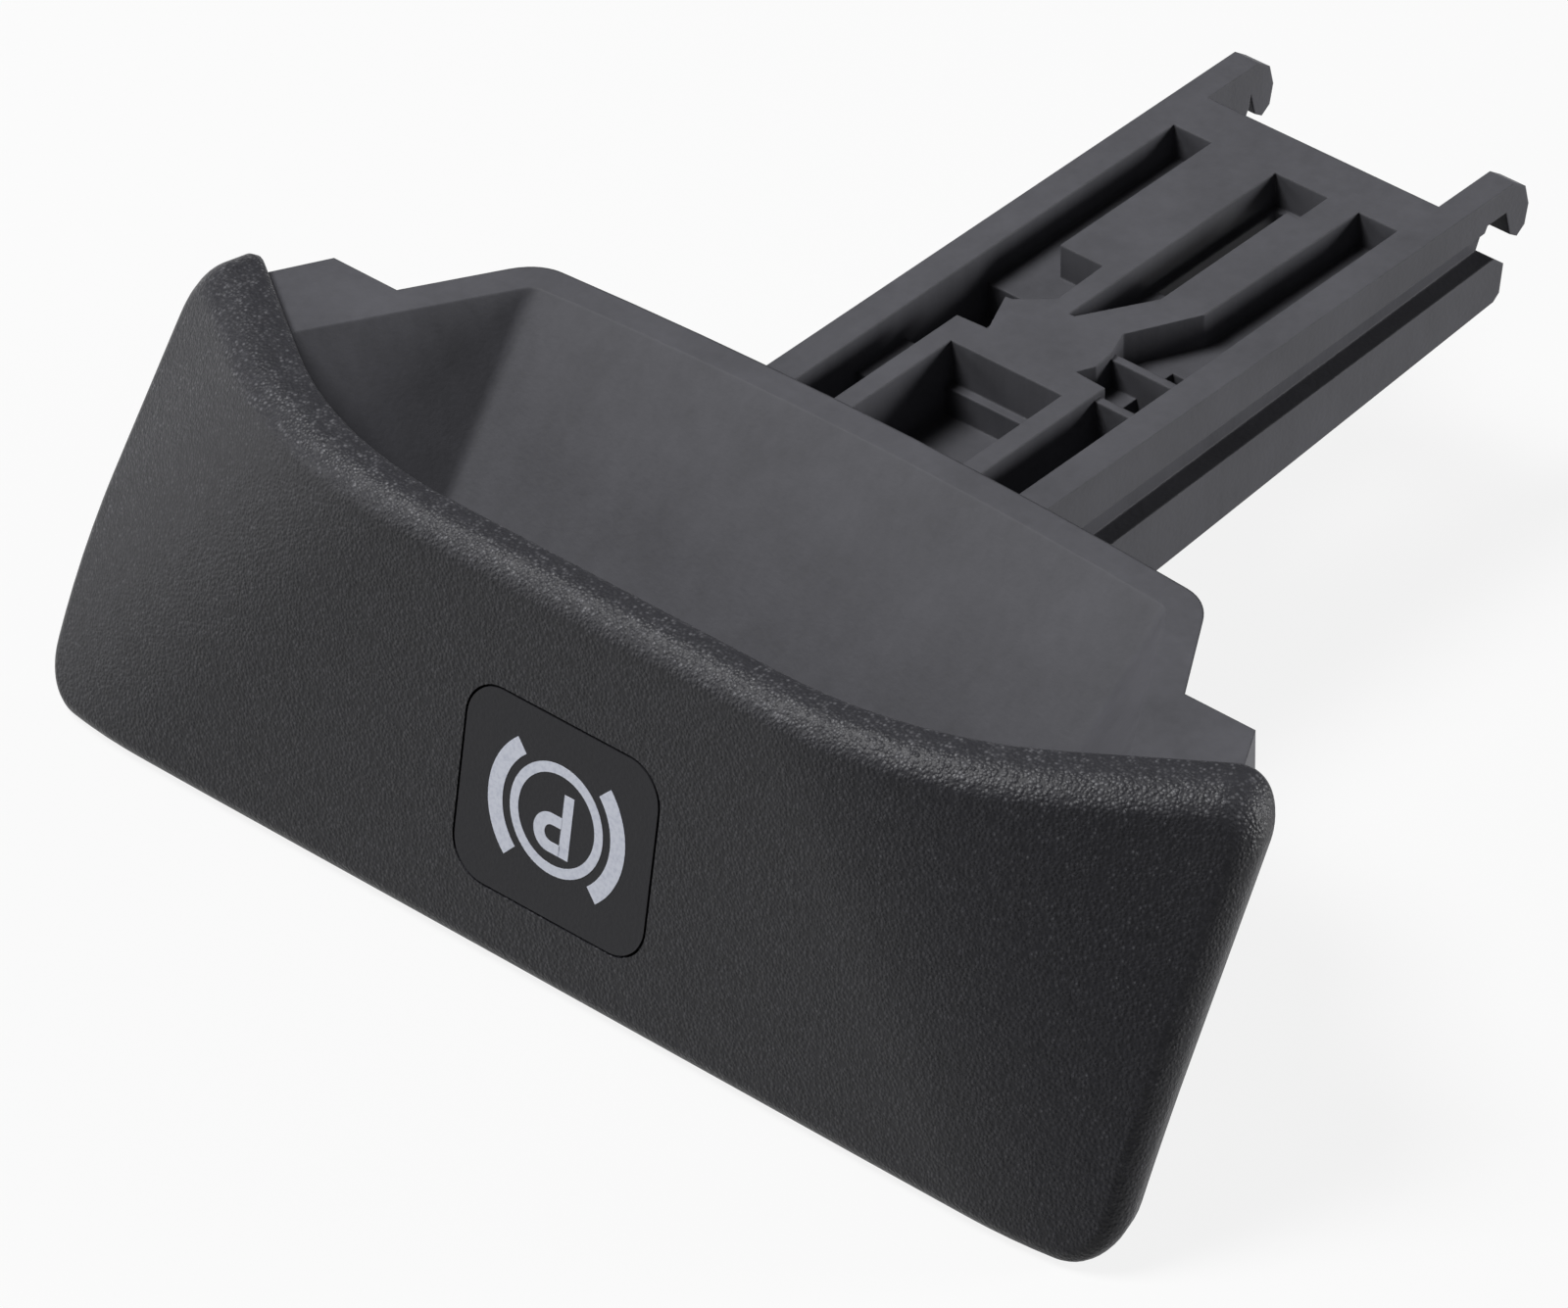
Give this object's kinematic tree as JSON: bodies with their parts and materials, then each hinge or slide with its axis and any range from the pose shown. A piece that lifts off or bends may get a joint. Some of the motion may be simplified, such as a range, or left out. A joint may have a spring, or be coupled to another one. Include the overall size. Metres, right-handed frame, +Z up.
{
  "type": "parking brake release handle",
  "caption": "Dashboard pull handle for a parking brake: finger scoop behind a swept, leaning face, on a flat slide tongue with open side rails, cable slot and hooked ends.",
  "frame": {"origin": "on the middle line of the tongue's side grooves, in the plane of the ears' back faces, midway between the two sides", "axes": "+X across the handle, +Y from the face back along the tongue, +Z up with the finger scoop opening upwards, as in the picture"},
  "size_m": [0.1222, 0.113, 0.0368],
  "materials": {
    "moulded_carrier": "smooth dark grey moulded plastic, satin",
    "grained_cover": "black plastic with a fine leather-like grain",
    "satin_insert": "black plastic, smoother than the cover around it"
  },
  "bodies": {
    "root": {"handle_carrier": "moulded_carrier", "face_cover": "grained_cover", "symbol_insert": "satin_insert"}
  },
  "joints": []
}
